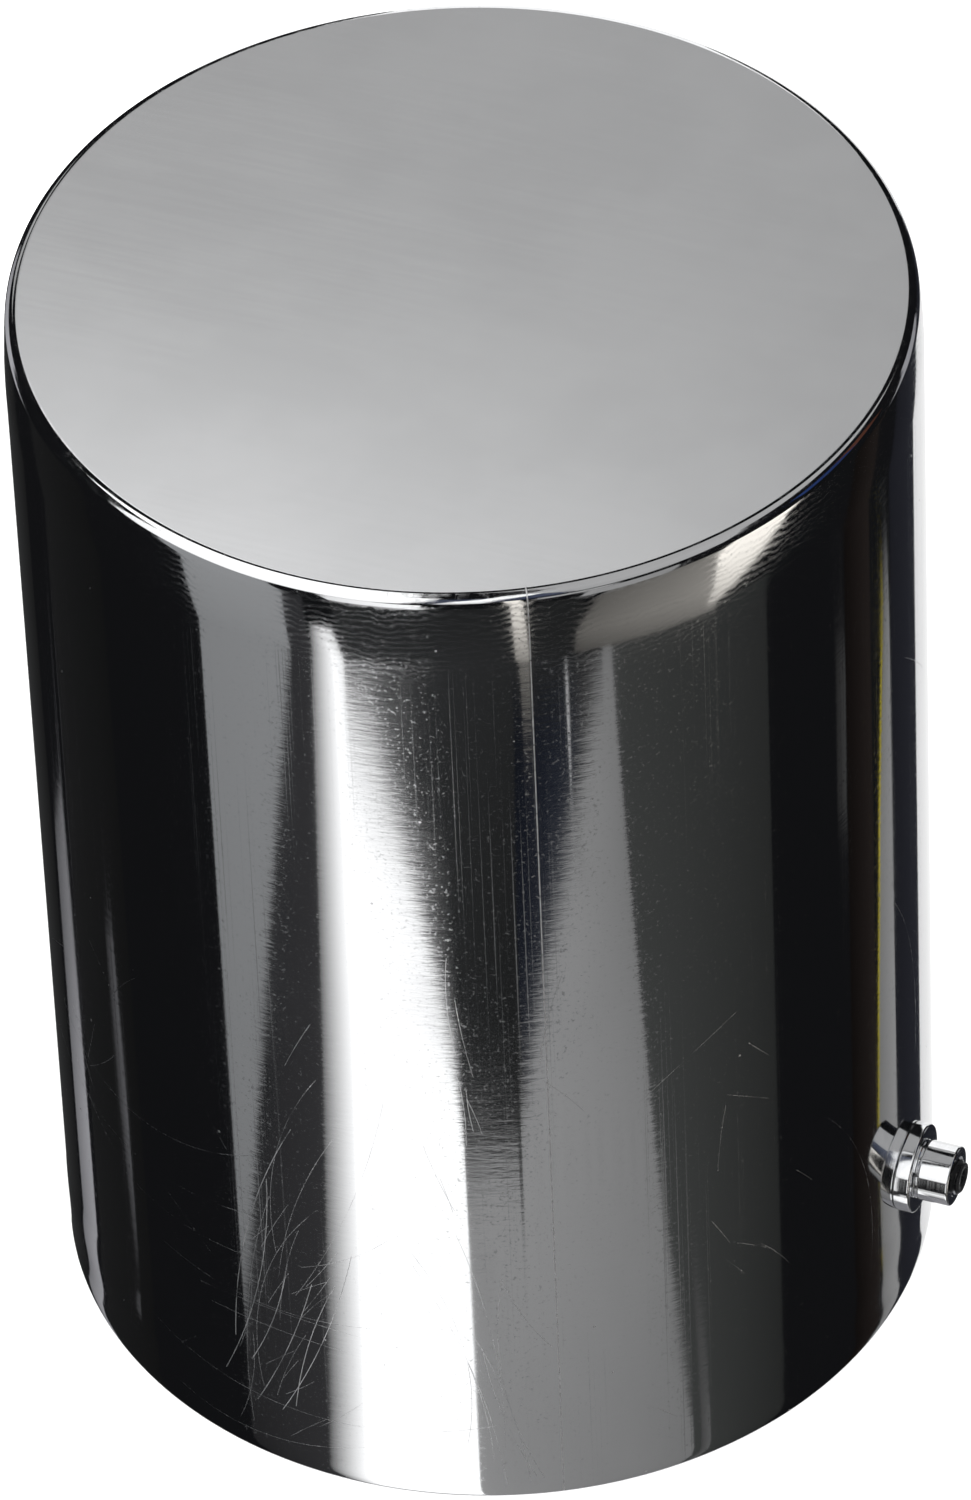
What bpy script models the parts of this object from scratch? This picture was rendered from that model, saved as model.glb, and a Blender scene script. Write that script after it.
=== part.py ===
"""Slip-on cover for a spin-on oil filter.

A deep-drawn can, closed and flat on top and open at the mouth, slides down over the filter.
One turned bush is riveted through the wall near the mouth, and a socket set screw runs in it.
The screw's soft tip presses on the filter and holds the cover in place.

Frame: the origin is the centre of the open mouth, +Z runs up the can's axis to the closed top,
and +X points from that axis out along the set screw. Units are metres.
"""

import math

import bmesh
import bpy
from mathutils import Vector

MM = 0.001

# Can
OUTER_RADIUS = 50.0 * MM
HEIGHT = 136.2 * MM
WALL = 0.8 * MM
TOP_EDGE_RADIUS = 1.8 * MM
MOUTH_EDGE_RADIUS = 0.25 * MM
CAN_STEPS = 96
TOP_ARC_STEPS = 5

# Bush, whose axis is parallel to X
BUSH_HEIGHT = 18.6 * MM
FIT_GAP = 0.3 * MM
FLANGE_RADIUS = 5.2 * MM
FLANGE_THICKNESS = 1.4 * MM
BARREL_RADIUS = 3.5 * MM
BARREL_LENGTH = 4.05 * MM
BARREL_CHAMFER = 0.35 * MM
RELIEF_WIDTH = 0.4 * MM
RELIEF_DEPTH = 0.15 * MM
SHANK_RADIUS = 3.1 * MM
LIP_RADIUS = 4.2 * MM
LIP_THICKNESS = 0.8 * MM
BORE_CHAMFER = 0.3 * MM
BUSH_STEPS = 48

# Set screw and its tip
SCREW_RADIUS = 2.05 * MM
SCREW_LENGTH = 8.0 * MM
SCREW_CHAMFER = 0.35 * MM
SCREW_STANDS_OUT = 0.8 * MM
THREAD_CLEARANCE = 0.2 * MM
SOCKET_ACROSS_FLATS = 2.0 * MM
SOCKET_DEPTH = 2.6 * MM
TIP_RADIUS = 1.1 * MM
TIP_LENGTH = 2.2 * MM
TIP_STANDS_OUT = 0.7 * MM
TIP_CHAMFER = 0.2 * MM
SCREW_STEPS = 48
TIP_STEPS = 32

# Places that follow from the dimensions, as distances along X from the can's axis
FLANGE_BACK = OUTER_RADIUS + FIT_GAP
FLANGE_FRONT = FLANGE_BACK + FLANGE_THICKNESS
BARREL_END = FLANGE_FRONT + BARREL_LENGTH
BORE_RADIUS = SCREW_RADIUS + THREAD_CLEARANCE
INNER_RADIUS = OUTER_RADIUS - WALL
LIP_FRONT = math.sqrt(INNER_RADIUS**2 - LIP_RADIUS**2) - FIT_GAP
LIP_BACK = LIP_FRONT - LIP_THICKNESS
SCREW_HEAD = BARREL_END + SCREW_STANDS_OUT
SCREW_FOOT = SCREW_HEAD - SCREW_LENGTH
TIP_FACE = SCREW_FOOT - TIP_STANDS_OUT

MERGE = 0.00001
SMOOTH_BELOW = math.radians(35)


def clear_scene():
    for old in list(bpy.data.objects):
        bpy.data.objects.remove(old, do_unlink=True)


def make_material(name, color, metallic, roughness):
    material = bpy.data.materials.new(name)
    material.use_nodes = True
    shader = material.node_tree.nodes["Principled BSDF"]
    shader.inputs["Base Color"].default_value = (*color, 1.0)
    shader.inputs["Metallic"].default_value = metallic
    shader.inputs["Roughness"].default_value = roughness
    return material


def arc(centre, radius, start, end, steps):
    """Points (r, z) on an arc about centre, from the start angle to the end angle in degrees."""
    points = []
    for i in range(steps + 1):
        angle = math.radians(start + (end - start) * i / steps)
        points.append((centre[0] + radius * math.cos(angle), centre[1] + radius * math.sin(angle)))
    return points


def turned(name, profile, steps, material, closed=False):
    """A solid of revolution about its own Z. The profile's (r, z) points run down the outer side."""
    mesh = bpy.data.meshes.new(name)
    points = [Vector((r, 0.0, z)) for r, z in profile]
    edges = [(i, i + 1) for i in range(len(points) - 1)]
    if closed:
        edges.append((len(points) - 1, 0))
    mesh.from_pydata(points, edges, [])
    body = bpy.data.objects.new(name, mesh)
    bpy.context.collection.objects.link(body)
    mesh.materials.append(material)
    spin = body.modifiers.new("Turn", "SCREW")
    spin.axis = "Z"
    spin.angle = 2 * math.pi
    spin.steps = steps
    spin.render_steps = steps
    spin.use_merge_vertices = True
    spin.merge_threshold = MERGE
    spin.use_smooth_shade = True
    return body


def apply_modifiers(body):
    """Bakes the modifiers into the mesh, so that later cuts and shading work on real faces."""
    depsgraph = bpy.context.evaluated_depsgraph_get()
    baked = bpy.data.meshes.new_from_object(body.evaluated_get(depsgraph))
    baked.name = body.name
    body.modifiers.clear()
    old = body.data
    body.data = baked
    bpy.data.meshes.remove(old)


def shade(body):
    body.data.shade_smooth()
    body.data.set_sharp_from_angle(angle=SMOOTH_BELOW)


def cut(body, cutter):
    """Takes the cutter's shape out of body and hides the cutter."""
    cutter.hide_render = True
    cutter.display_type = "WIRE"
    boolean = body.modifiers.new("Cut " + cutter.name, "BOOLEAN")
    boolean.operation = "DIFFERENCE"
    boolean.solver = "EXACT"
    boolean.object = cutter


def rod(name, radius, start, end, sides):
    """A closed prism or cylinder along its own Z, from start to end."""
    mesh = bpy.data.meshes.new(name)
    shape = bmesh.new()
    bmesh.ops.create_cone(
        shape,
        cap_ends=True,
        segments=sides,
        radius1=radius,
        radius2=radius,
        depth=end - start,
    )
    bmesh.ops.translate(shape, verts=shape.verts, vec=(0.0, 0.0, (start + end) / 2))
    shape.to_mesh(mesh)
    shape.free()
    body = bpy.data.objects.new(name, mesh)
    bpy.context.collection.objects.link(body)
    return body


def screw_axis():
    """The empty that carries the bush, the screw and its tip: its Z is the screw's axis, along +X."""
    axis = bpy.data.objects.new("screw_axis", None)
    axis.location = (0.0, 0.0, BUSH_HEIGHT)
    axis.rotation_euler = (0.0, math.pi / 2, 0.0)
    bpy.context.collection.objects.link(axis)
    return axis


def cover_shell(axis):
    chrome = make_material("shell_chrome", (0.72, 0.73, 0.75), 1.0, 0.06)
    inner_top = HEIGHT - WALL
    inner_edge = TOP_EDGE_RADIUS - WALL
    edge_centre = (OUTER_RADIUS - TOP_EDGE_RADIUS, HEIGHT - TOP_EDGE_RADIUS)
    outer_mouth = (OUTER_RADIUS - MOUTH_EDGE_RADIUS, MOUTH_EDGE_RADIUS)
    inner_mouth = (INNER_RADIUS + MOUTH_EDGE_RADIUS, MOUTH_EDGE_RADIUS)
    profile = [(0.0, HEIGHT)]
    profile += arc(edge_centre, TOP_EDGE_RADIUS, 90, 0, TOP_ARC_STEPS)
    profile += arc(outer_mouth, MOUTH_EDGE_RADIUS, 0, -90, 2)
    profile += arc(inner_mouth, MOUTH_EDGE_RADIUS, -90, -180, 2)
    profile += arc(edge_centre, inner_edge, 0, 90, TOP_ARC_STEPS)
    profile.append((0.0, inner_top))
    shell = turned("cover_shell", profile, CAN_STEPS, chrome)
    apply_modifiers(shell)
    shade(shell)
    hole = rod("bush_hole", SHANK_RADIUS + FIT_GAP, LIP_BACK, FLANGE_FRONT, BUSH_STEPS)
    hole.parent = axis
    cut(shell, hole)
    return shell


def threaded_bush(axis):
    chrome = make_material("bush_chrome", (0.70, 0.71, 0.73), 1.0, 0.10)
    neck = BARREL_RADIUS - RELIEF_DEPTH
    profile = [
        (BORE_RADIUS + BORE_CHAMFER, BARREL_END),
        (BARREL_RADIUS - BARREL_CHAMFER, BARREL_END),
        (BARREL_RADIUS, BARREL_END - BARREL_CHAMFER),
        (BARREL_RADIUS, FLANGE_FRONT + RELIEF_WIDTH),
        (neck, FLANGE_FRONT + RELIEF_WIDTH),
        (neck, FLANGE_FRONT),
        (FLANGE_RADIUS, FLANGE_FRONT),
        (FLANGE_RADIUS, FLANGE_BACK),
        (SHANK_RADIUS, FLANGE_BACK),
        (SHANK_RADIUS, LIP_FRONT),
        (LIP_RADIUS, LIP_FRONT),
        (LIP_RADIUS - LIP_THICKNESS / 2, LIP_BACK),
        (BORE_RADIUS, LIP_BACK),
        (BORE_RADIUS, BARREL_END - BORE_CHAMFER),
    ]
    bush = turned("threaded_bush", profile, BUSH_STEPS, chrome, closed=True)
    apply_modifiers(bush)
    shade(bush)
    bush.parent = axis
    return bush


def set_screw(axis):
    """The screw's origin lies on its own turning axis, at the end with the socket."""
    black = make_material("screw_black_oxide", (0.035, 0.035, 0.037), 0.8, 0.38)
    end = -SCREW_LENGTH
    recess = TIP_RADIUS + FIT_GAP
    recess_end = end + TIP_LENGTH - TIP_STANDS_OUT + FIT_GAP
    profile = [
        (0.0, 0.0),
        (SCREW_RADIUS - SCREW_CHAMFER, 0.0),
        (SCREW_RADIUS, -SCREW_CHAMFER),
        (SCREW_RADIUS, end + SCREW_CHAMFER),
        (SCREW_RADIUS - SCREW_CHAMFER, end),
        (recess, end),
        (recess, recess_end),
        (0.0, recess_end),
    ]
    screw = turned("set_screw", profile, SCREW_STEPS, black)
    apply_modifiers(screw)
    shade(screw)
    screw.parent = axis
    screw.location = (0.0, 0.0, SCREW_HEAD)
    corner_radius = SOCKET_ACROSS_FLATS / math.sqrt(3)
    socket = rod("hex_socket", corner_radius, -SOCKET_DEPTH, SOCKET_DEPTH, 6)
    socket.parent = screw
    cut(screw, socket)
    return screw


def screw_tip(axis):
    """The soft plug in the screw's inner end. Its origin is on the screw's axis, at its outer face."""
    nylon = make_material("tip_nylon", (0.80, 0.78, 0.70), 0.0, 0.45)
    profile = [
        (0.0, TIP_LENGTH),
        (TIP_RADIUS, TIP_LENGTH),
        (TIP_RADIUS, TIP_CHAMFER),
        (TIP_RADIUS - TIP_CHAMFER, 0.0),
        (0.0, 0.0),
    ]
    tip = turned("screw_tip", profile, TIP_STEPS, nylon)
    apply_modifiers(tip)
    shade(tip)
    tip.parent = axis
    tip.location = (0.0, 0.0, TIP_FACE)
    return tip


def main():
    clear_scene()
    axis = screw_axis()
    cover_shell(axis)
    threaded_bush(axis)
    set_screw(axis)
    screw_tip(axis)
    bpy.context.view_layer.update()


main()
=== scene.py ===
"""Looks of the slip-on oil filter cover: fine meshes, finishes, studio and camera around its fixed frame.

The shell, the bush, the set screw and its tip are rebuilt here as finer surfaces in the places that the
frame gives them. The studio is a pale floor under soft light, with light and dark cards round the cover
for its polished chrome to mirror. Units are metres, +Z is up the can, +X runs out along the set screw.
"""

import math
import random

import bmesh
import bpy
from mathutils import Matrix, Vector


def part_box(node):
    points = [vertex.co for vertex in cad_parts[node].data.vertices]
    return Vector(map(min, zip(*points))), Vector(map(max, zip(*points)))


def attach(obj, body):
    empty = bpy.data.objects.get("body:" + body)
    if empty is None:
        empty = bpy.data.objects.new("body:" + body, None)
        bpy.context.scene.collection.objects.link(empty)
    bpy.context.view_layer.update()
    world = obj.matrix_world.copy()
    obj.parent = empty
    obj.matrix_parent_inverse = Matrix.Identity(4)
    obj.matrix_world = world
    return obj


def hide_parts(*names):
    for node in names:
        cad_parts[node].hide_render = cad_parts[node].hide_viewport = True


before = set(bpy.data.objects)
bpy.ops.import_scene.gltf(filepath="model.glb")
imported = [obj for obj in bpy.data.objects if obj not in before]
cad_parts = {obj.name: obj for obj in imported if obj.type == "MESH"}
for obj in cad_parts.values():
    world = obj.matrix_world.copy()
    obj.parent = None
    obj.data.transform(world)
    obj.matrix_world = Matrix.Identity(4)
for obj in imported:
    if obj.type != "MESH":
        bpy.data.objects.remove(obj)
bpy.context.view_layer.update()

MM = 0.001
MICRON = 0.000001

# ---------------------------------------------------------------- places, all read from the frame

_, shell_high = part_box("cover_shell")
bush_low, bush_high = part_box("threaded_bush")
screw_low, screw_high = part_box("set_screw")
tip_low, tip_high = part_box("screw_tip")

CAN_RADIUS = shell_high.x
CAN_HEIGHT = shell_high.z
BUSH_HEIGHT = (bush_low.z + bush_high.z) / 2
FLANGE_RADIUS = (bush_high.z - bush_low.z) / 2
BARREL_END = bush_high.x
LIP_BACK = bush_low.x
SCREW_HEAD = screw_high.x
SCREW_FOOT = screw_low.x
SCREW_RADIUS = (screw_high.z - screw_low.z) / 2
TIP_FACE = tip_low.x
TIP_BACK = tip_high.x
TIP_RADIUS = (tip_high.z - tip_low.z) / 2

# ---------------------------------------------------------------- dimensions of the fine meshes

# Shell
WALL = 0.8 * MM
CAN_STEPS = 360
SHARP_ANGLE = math.radians(32)
RIM_REACH = 1.8 * MM
RIM_ARC_END = math.radians(84)
RIM_EASE_LENGTH = 8.0 * MM
RIM_ARC_PARTS = 16
RIM_EASE_PARTS = 16
MOUTH_ROUND = 0.25 * MM
MOUTH_TURN_HEIGHT = 1.5 * MM
MOUTH_TURN_IN = 0.03 * MM
INNER_CORNER = 1.2 * MM
CLOSE_RINGS_TOP = BUSH_HEIGHT + 8 * MM
HOLE_PLAY = 0.02 * MM
HOLE_INWARD = 3 * MM
HOLE_OUTWARD = 2 * MM
HOLE_STEPS = 48

# Rings of the shell: their places on the two flats as shares of the way out, and counts of the others
TOP_SHARES = (0.02, 0.25, 0.5, 0.75, 0.92, 0.985, 0.998)
CEILING_SHARES = (0.99, 0.7, 0.35, 0.02)
OUTSIDE_UPPER, OUTSIDE_CLOSE = 24, 25
INSIDE_CLOSE, INSIDE_UPPER = 26, 12
MOUTH_PARTS = 5
CORNER_PARTS = 6

# Bush
FLANGE_FRONT = CAN_RADIUS + 1.7 * MM
BARREL_RADIUS = 3.5 * MM
SHANK_RADIUS = 3.1 * MM
LIP_RADIUS = 4.2 * MM
EDGE_ROUND = 0.22 * MM
EDGE_PARTS = 5
HOLD = 0.06 * MM
FLANGE_HOLD = 0.05 * MM
RELIEF_WIDTH = 0.4 * MM
RELIEF_DEPTH = 0.15 * MM
RELIEF_EDGE = 0.1 * MM
RELIEF_CORNER = 0.08 * MM
WALL_GAP = 0.01 * MM
BORE_PLAY = 0.03 * MM
BORE_CHAMFER = 0.28 * MM
BUSH_STEPS = 144

# Set screw and tip
THREAD_PITCH = 0.79375 * MM
THREAD_DEPTH = 0.42 * MM
THREAD_CREST_SHARE = 0.125
THREAD_FLANK_SHARE = 0.75
SCREW_CHAMFER = 0.35 * MM
SOCKET_ACROSS_FLATS = 2.0 * MM
SOCKET_DEPTH = 2.6 * MM
SOCKET_CONE = 0.5 * MM
SOCKET_EDGE = 0.04 * MM
SOCKET_HOLD = 0.2 * MM
FACE_EDGE = 0.02 * MM
TIP_PLAY = 0.02 * MM
BORE_EDGE = 0.08 * MM
SCREW_MIDDLE = 0.05 * MM
SCREW_STEPS = 72
THREAD_PARTS_PER_TURN = 12
TIP_ROUND = 0.2 * MM
TIP_PARTS = 4
TIP_CHAMFER = 0.1 * MM
TIP_MIDDLE = 0.2 * MM
TIP_STEPS = 48

# ---------------------------------------------------------------- camera

CAMERA_AZIMUTH = math.radians(-68.0)
CAMERA_ELEVATION = math.radians(42.99)
CAMERA_ROLL = math.radians(-2.53)
CAMERA_DISTANCE = 1.3595
CAMERA_AIM_HEIGHT = 68.45 * MM
CAMERA_AIM_RIGHT = 0.4 * MM
CAMERA_LENS = 291.5
CAMERA_FILM = 36.0
CAMERA_NEAR = 0.05
CAMERA_FAR = 200.0


def add_camera():
    """A long lens that looks down on the cover, rolled slightly, aimed near the middle of its height."""
    data = bpy.data.cameras.new("camera")
    data.lens = CAMERA_LENS
    data.sensor_width = CAMERA_FILM
    data.clip_start = CAMERA_NEAR
    data.clip_end = CAMERA_FAR
    camera = bpy.data.objects.new("camera", data)
    bpy.context.scene.collection.objects.link(camera)
    outward = Vector((math.cos(CAMERA_AZIMUTH), math.sin(CAMERA_AZIMUTH), 0.0))
    right = Vector((-outward.y, outward.x, 0.0))
    back = outward * math.cos(CAMERA_ELEVATION) + Vector((0, 0, math.sin(CAMERA_ELEVATION)))
    aim = Vector((0, 0, CAMERA_AIM_HEIGHT)) + right * CAMERA_AIM_RIGHT
    level = Matrix((right, back.cross(right), back)).transposed()
    turn = level @ Matrix.Rotation(CAMERA_ROLL, 3, "Z")
    camera.matrix_world = Matrix.Translation(aim + back * CAMERA_DISTANCE) @ turn.to_4x4()
    bpy.context.scene.camera = camera


# ---------------------------------------------------------------- shader wiring


class Wiring:
    """A material's node tree, with short ways to add nodes and join them."""

    def __init__(self, name):
        self.material = bpy.data.materials.new(name)
        self.material.use_nodes = True
        self.tree = self.material.node_tree
        self.tree.nodes.clear()

    def add(self, kind, inputs=None, **settings):
        node = self.tree.nodes.new(kind)
        for key, value in settings.items():
            setattr(node, key, value)
        for key, value in (inputs or {}).items():
            self.feed(node.inputs[key], value)
        return node

    def feed(self, socket, value):
        if isinstance(value, bpy.types.NodeSocket):
            self.tree.links.new(value, socket)
        else:
            socket.default_value = value

    def math(self, operation, first, second=0.0):
        return self.add("ShaderNodeMath", {0: first, 1: second}, operation=operation).outputs[0]

    def place(self):
        return self.add("ShaderNodeTexCoord").outputs["Object"]

    def from_camera_side(self):
        """The place's X, Y and Z once it's turned about the can to put the camera's side on +X."""
        inputs = {"Vector": self.place(), "Rotation": (0, 0, -CAMERA_AZIMUTH)}
        turned = self.add("ShaderNodeMapping", inputs).outputs[0]
        return self.add("ShaderNodeSeparateXYZ", {0: turned}).outputs

    def stretched(self, scale, turn=(0, 0, 0), shift=(0, 0, 0)):
        """The object's own coordinates, turned, shifted and scaled."""
        inputs = {"Vector": self.place(), "Location": shift, "Rotation": turn, "Scale": scale}
        return self.add("ShaderNodeMapping", inputs).outputs[0]

    def noise(self, vector, detail=2.0):
        inputs = {"Vector": vector, "Scale": 1.0, "Detail": detail, "Roughness": 0.5, "Distortion": 0.0}
        return self.add("ShaderNodeTexNoise", inputs).outputs["Fac"]

    def specks(self, per_metre, core, edge):
        """Tiny round spots: 1 within the core's share of a cell, fading to 0 at the edge's share."""
        inputs = {"Vector": self.place(), "Scale": per_metre, "Randomness": 1.0}
        cells = self.add("ShaderNodeTexVoronoi", inputs)
        return self.remap(cells.outputs["Distance"], core, edge, 1.0, 0.0)

    def remap(self, value, low, high, to_low=0.0, to_high=1.0):
        """The value eased from one range to another, with a smooth start and end."""
        inputs = {"Value": value, "From Min": low, "From Max": high, "To Min": to_low, "To Max": to_high}
        return self.add("ShaderNodeMapRange", inputs, interpolation_type="SMOOTHSTEP").outputs["Result"]

    def times(self, *values):
        result = values[0]
        for value in values[1:]:
            result = self.math("MULTIPLY", result, value)
        return result

    def total(self, *values):
        result = values[0]
        for value in values[1:]:
            result = self.math("ADD", result, value)
        return result

    def most(self, *values):
        result = values[0]
        for value in values[1:]:
            result = self.math("MAXIMUM", result, value)
        return result

    def mix(self, factor, first, second):
        node = self.add("ShaderNodeMix", data_type="RGBA")
        self.feed(node.inputs["Factor"], factor)
        self.feed(node.inputs["A"], first)
        self.feed(node.inputs["B"], second)
        return node.outputs["Result"]

    def bump(self, height, distance, normal=None):
        inputs = {"Height": height, "Distance": distance, "Strength": 1.0}
        if normal is not None:
            inputs["Normal"] = normal
        return self.add("ShaderNodeBump", inputs).outputs[0]

    def finish(self, **sockets):
        """Closes the tree with a Principled shader whose inputs are named with _ for a space."""
        inputs = {key.replace("_", " "): value for key, value in sockets.items()}
        shader = self.add("ShaderNodeBsdfPrincipled", inputs)
        self.add("ShaderNodeOutputMaterial", {"Surface": shader.outputs[0]})
        return self.material


def line_on_wall(wiring, angle, half_width):
    """1 along a line that runs up the wall at an angle about the can's axis."""

    def reach_along(direction):
        inputs = {0: wiring.place(), 1: direction}
        return wiring.add("ShaderNodeVectorMath", inputs, operation="DOT_PRODUCT").outputs["Value"]

    across = reach_along((-math.sin(angle), math.cos(angle), 0.0))
    outward = reach_along((math.cos(angle), math.sin(angle), 0.0))
    near = wiring.remap(wiring.math("ABSOLUTE", across), half_width * 0.5, half_width, 1.0, 0.0)
    return wiring.times(near, wiring.math("GREATER_THAN", outward, 0.0))


# ---------------------------------------------------------------- finishes

CHROME = (0.80, 0.805, 0.815, 1.0)
CHROME_SMUDGED = (0.76, 0.765, 0.775, 1.0)
CHROME_SCRATCHED = (0.90, 0.90, 0.91, 1.0)
CHROME_INSIDE = (0.50, 0.49, 0.47, 1.0)
CHROME_INSIDE_STAINED = (0.36, 0.34, 0.31, 1.0)
OXIDE = (0.018, 0.018, 0.019, 1.0)
OXIDE_RUBBED = (0.11, 0.105, 0.10, 1.0)
NYLON = (0.80, 0.78, 0.70, 1.0)
NYLON_CLOUDED = (0.72, 0.69, 0.60, 1.0)
FLOOR = (0.90, 0.90, 0.90, 1.0)
FLOOR_CLOUDED = (0.885, 0.885, 0.89, 1.0)

# Heights on the wall: where its ripple starts, is fullest and ends, and where the swirls start and are full
RIPPLE_LOW = 2.5 * MM
RIPPLE_MIDDLE = 7.5 * MM
RIPPLE_HIGH = 13.5 * MM
SWIRLS_LOW = CAN_HEIGHT - 14 * MM
SWIRLS_FULL = CAN_HEIGHT - 3 * MM

SCORE_ANGLE = CAMERA_AZIMUTH + math.radians(6.4)
SCORE_HALF_WIDTH = 0.09 * MM
BUFFING_ANGLE = CAMERA_AZIMUTH + math.radians(35)

# Groups of scratches: seed, count, then ranges of where they start along and up the wall, of their lean
# from upright and of their length. Lengths are in mm and the lean in degrees. Along is measured round the
# can, to the right of the camera's side.
BOLD_SCRATCHES = {"steep": (3, 6, (-35, -25), (1, 20), (6, 22), (16, 46))}
FINE_SCRATCHES = {
    "faint": (4, 9, (-35, -22), (1, 34), (2, 20), (10, 40)),
    "crossing": (17, 11, (-29, -21), (3, 34), (24, 52), (3, 11)),
    "shallow": (8, 8, (-58, -34), (4, 42), (72, 104), (14, 34)),
    "front": (5, 7, (-3, 3), (1, 10), (-15, -6), (18, 38)),
    "upper": (11, 7, (-7, 1), (38, 70), (-18, -2), (5, 16)),
    "left": (21, 8, (-62, -34), (6, 60), (-70, 70), (3, 12)),
    "right": (34, 7, (8, 40), (8, 70), (-60, 20), (3, 10)),
    "rear": (55, 16, (62, 150), (4, 90), (-60, 60), (4, 18)),
}
SCRATCH_RADIUS = (32, 120)
SCRATCH_OVERRUN = 0.2 * MM
BOLD_HALF_WIDTH = 0.045 * MM
FINE_HALF_WIDTH = 0.035 * MM


def scratch_arcs(seed, count, along, up, lean, length):
    """One group's scratches, each the centre, radius, middle height and half height of a shallow arc."""
    chance = random.Random(seed)
    arcs = []
    for _ in range(count):
        start = Vector((chance.uniform(*along), chance.uniform(*up))) * MM
        angle = math.radians(chance.uniform(*lean))
        run = Vector((math.sin(angle), math.cos(angle))) * chance.uniform(*length) * MM
        radius = chance.choice((-1, 1)) * chance.uniform(*SCRATCH_RADIUS) * MM
        middle = start + run / 2
        aside = Vector((run.y, -run.x)).normalized()
        centre = middle + aside * radius
        arcs.append((centre, abs(radius), middle.y, abs(run.y) / 2 + SCRATCH_OVERRUN))
    return arcs


def scratched(wiring, groups, half_width):
    """1 on any of the groups' scratches, drawn in the wall's own plane of distance round it and height."""
    parts = wiring.from_camera_side()
    along = wiring.times(wiring.math("ARCTAN2", parts["Y"], parts["X"]), CAN_RADIUS)
    height = parts["Z"]
    flat = wiring.add("ShaderNodeCombineXYZ", {"X": along, "Y": height}).outputs[0]
    arcs = [arc for group in groups.values() for arc in scratch_arcs(*group)]
    marks = []
    for centre, radius, middle, reach in arcs:
        inputs = {0: flat, 1: (centre.x, centre.y, 0.0)}
        away = wiring.add("ShaderNodeVectorMath", inputs, operation="DISTANCE").outputs["Value"]
        on_arc = wiring.add("ShaderNodeMath", {0: away, 1: radius, 2: half_width}, operation="COMPARE")
        inside = wiring.add("ShaderNodeMath", {0: height, 1: middle, 2: reach}, operation="COMPARE")
        marks.append(wiring.times(on_arc.outputs[0], inside.outputs[0]))
    return wiring.most(*marks)


def chrome_wall():
    """Polished chrome over a drawn wall.

    Grooves run round the can, polishing swirls lie near the rim and hairlines run up below them. A slight
    ripple near the mouth grows toward the sides. Over these come dust, pits, a score line and scratches.
    """
    w = Wiring("chrome_wall")

    fine_grooves = w.noise(w.stretched((800, 800, 4400)), detail=1.0)
    grooves = w.noise(w.stretched((500, 500, 2300)), detail=1.0)
    broad_grooves = w.noise(w.stretched((220, 220, 900)), detail=1.0)
    waviness = w.noise(w.stretched((45, 45, 30)), detail=1.0)
    parts = w.from_camera_side()
    height = parts["Z"]
    side = w.times(w.math("ABSOLUTE", parts["Y"]), 1.0 / CAN_RADIUS)
    swell = w.remap(height, RIPPLE_LOW, RIPPLE_MIDDLE)
    fall = w.remap(height, RIPPLE_MIDDLE, RIPPLE_HIGH, 1.0, 0.0)
    ripple = w.times(swell, fall, side, side, side, side)
    near_rim = w.remap(height, SWIRLS_LOW, SWIRLS_FULL)
    swirls = w.add(
        "ShaderNodeTexWave",
        {"Vector": w.stretched((1, 1, 1), shift=(0.03, 0.02, 0.0)), "Scale": 420.0, "Distortion": 9.0},
        wave_type="RINGS",
    ).outputs["Fac"]
    normal = w.bump(fine_grooves, 0.36 * MICRON)
    normal = w.bump(grooves, 0.7 * MICRON, normal)
    normal = w.bump(broad_grooves, 1.0 * MICRON, normal)
    normal = w.bump(waviness, 9.0 * MICRON, normal)
    normal = w.bump(w.times(swirls, near_rim), 0.22 * MICRON, normal)
    normal = w.bump(ripple, 60.0 * MICRON, normal)

    hairlines = w.noise(w.stretched((6500, 6500, 16)), detail=0.0)
    hairline_patches = w.noise(w.stretched((90, 90, 16)), detail=1.0)
    hairlines = w.times(w.remap(hairlines, 0.62, 0.84), w.remap(hairline_patches, 0.38, 0.66))
    hairlines = w.times(hairlines, w.remap(near_rim, 0.0, 0.6, 1.0, 0.0))
    dust = w.remap(w.noise(w.stretched((2600, 2600, 2600)), detail=2.0), 0.56, 0.80)

    bold = scratched(w, BOLD_SCRATCHES, BOLD_HALF_WIDTH)
    fine = scratched(w, FINE_SCRATCHES, FINE_HALF_WIDTH)
    breaks = w.remap(w.noise(w.stretched((300, 300, 200)), detail=3.0), 0.26, 0.58, 0.15, 1.0)
    scratches = w.times(w.most(bold, w.times(fine, 0.55)), breaks)

    pits = w.specks(160.0, 0.012, 0.035)
    score = line_on_wall(w, SCORE_ANGLE, SCORE_HALF_WIDTH)
    score = w.times(score, w.remap(w.noise(w.stretched((0, 0, 900))), 0.30, 0.60, 0.35, 1.0))

    marks = w.most(scratches, pits, score)
    smudge = w.remap(w.noise(w.stretched((60, 60, 25)), detail=4.0), 0.35, 0.75)
    polish = w.mix(smudge, CHROME, CHROME_SMUDGED)
    color = w.mix(marks, polish, CHROME_SCRATCHED)
    roughness = w.total(
        w.remap(smudge, 0.0, 1.0, 0.035, 0.060),
        w.times(hairlines, 0.12),
        w.times(dust, 0.12),
        w.times(swirls, near_rim, 0.08),
        w.times(marks, 0.42),
    )
    return w.finish(Base_Color=color, Metallic=1.0, Roughness=roughness, Normal=normal)


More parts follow.
